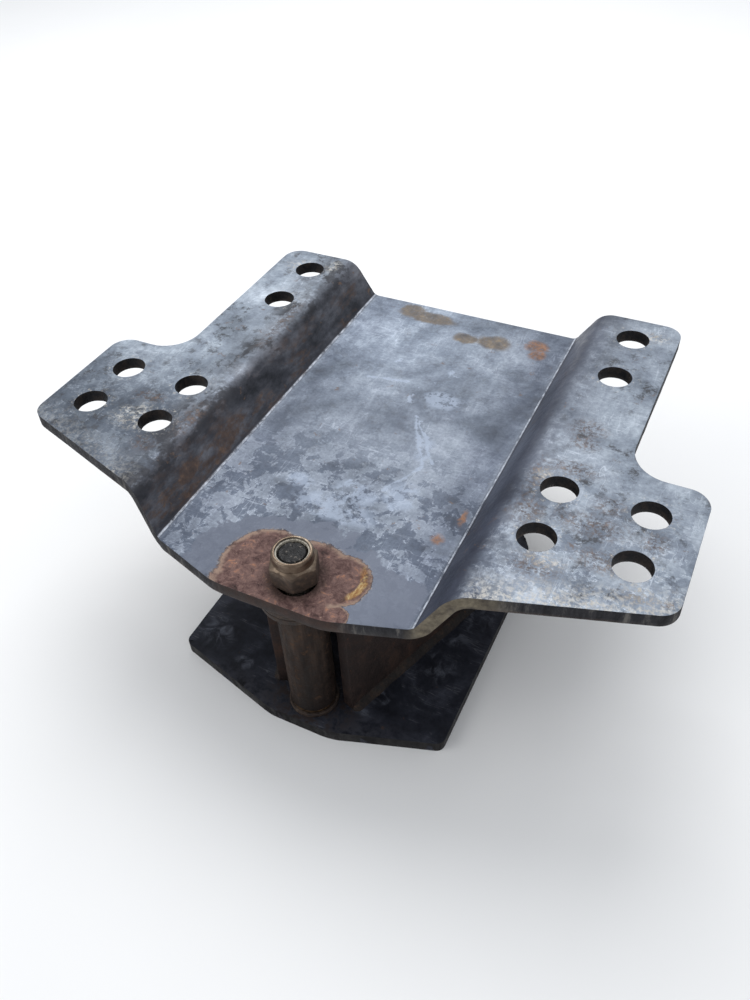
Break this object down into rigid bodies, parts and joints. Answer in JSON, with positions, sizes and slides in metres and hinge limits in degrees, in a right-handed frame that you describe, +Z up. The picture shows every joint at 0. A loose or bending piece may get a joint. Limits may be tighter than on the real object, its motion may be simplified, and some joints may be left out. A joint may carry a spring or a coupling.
{
  "type": "fifth wheel hitch wedge plate",
  "caption": "Bent steel top plate with drilled flanges over a flat skid plate, joined by two webs set in a V with a roller on a through bolt at its tip.",
  "frame": {"origin": "on the underside of the skid plate, under the middle of the overall box", "axes": "+X to the right across the hitch, -Y towards the nose and the roller, +Z up through the flanges"},
  "size_m": [0.457, 0.343, 0.1725],
  "materials": {
    "plate_steel": "weathered blue-grey mill scale with rust",
    "skid_steel": "worn black",
    "web_steel": "rusted",
    "weld_metal": "rusted weld",
    "bolt_steel": "greasy and dirty",
    "nut_zinc": "yellow zinc, rusting",
    "washer_steel": "stained",
    "roller_steel": "rusted",
    "bronze": "dull",
    "nylon": "dirty"
  },
  "bodies": {
    "frame": {"top_plate": "plate_steel", "skid_plate": "skid_steel", "left_web": "web_steel", "right_web": "web_steel", "left_inner_lower_bead": "weld_metal", "left_inner_upper_bead": "weld_metal", "left_outer_lower_bead": "weld_metal", "left_outer_upper_bead": "weld_metal", "right_inner_lower_bead": "weld_metal", "right_inner_upper_bead": "weld_metal", "right_outer_lower_bead": "weld_metal", "right_outer_upper_bead": "weld_metal", "through_bolt": "bolt_steel", "lock_nut": "nut_zinc", "nylon_insert": "nylon", "upper_washer_1": "washer_steel", "upper_washer_2": "washer_steel", "lower_washer": "washer_steel"},
    "roller": {"roller_sleeve": "roller_steel", "upper_bush": "bronze", "lower_bush": "bronze"}
  },
  "joints": [
    {"name": "roller_spin", "type": "hinge", "parent": "frame", "child": "roller", "pos_m": [0.008, -0.1461, 0.071], "axis": [0, 0, 1], "continuous": true}
  ]
}
